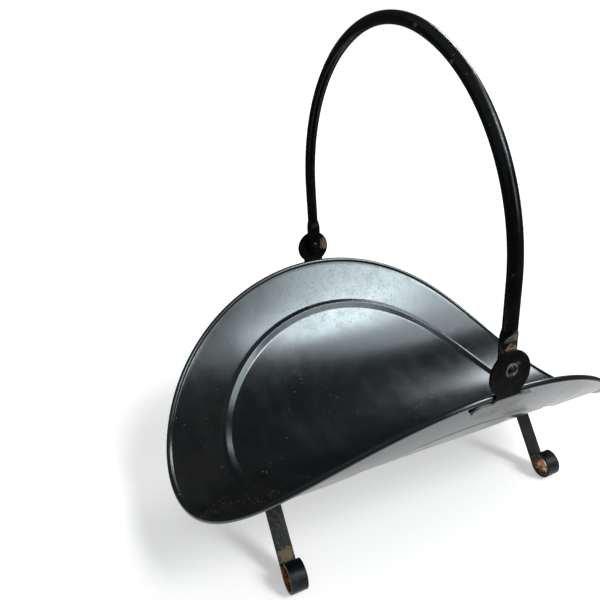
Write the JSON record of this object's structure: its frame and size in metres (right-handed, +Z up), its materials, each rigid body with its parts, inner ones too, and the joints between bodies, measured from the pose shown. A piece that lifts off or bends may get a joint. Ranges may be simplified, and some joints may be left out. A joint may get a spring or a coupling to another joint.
{
  "type": "log carrier",
  "caption": "Round sheet steel pan bent into a trough for carrying and holding firewood, with a swinging hoop handle, on two leg straps with curled feet.",
  "frame": {"origin": "on the floor, under the middle of the trough", "axes": "+Z up, +X along the trough towards the right leg strap, -Y towards the front ear"},
  "size_m": [0.48, 0.379, 0.4984],
  "materials": {
    "pan_paint": "semi-gloss graphite paint, scuffed and dusty",
    "black_paint": "black paint, worn to brown rust at the edges",
    "handle_paint": "gloss black paint with a few chips",
    "rivet_steel": "black paint over steel, worn bright round the rim",
    "strap_paint": "black paint over rust, worn through inside the curls"
  },
  "bodies": {
    "carrier": {"pan": "pan_paint", "front_ear": "black_paint", "rear_ear": "black_paint", "front_rivet": "rivet_steel", "rear_rivet": "rivet_steel", "front_washer": "rivet_steel", "rear_washer": "rivet_steel", "left_leg_strap": "strap_paint", "right_leg_strap": "strap_paint"},
    "handle": {"handle": "handle_paint"}
  },
  "joints": [
    {"name": "handle_swing", "type": "hinge", "parent": "carrier", "child": "handle", "pos_m": [0, 0, 0.22377], "axis": [0, 1, 0], "range_deg": [-108.5, 111]}
  ]
}
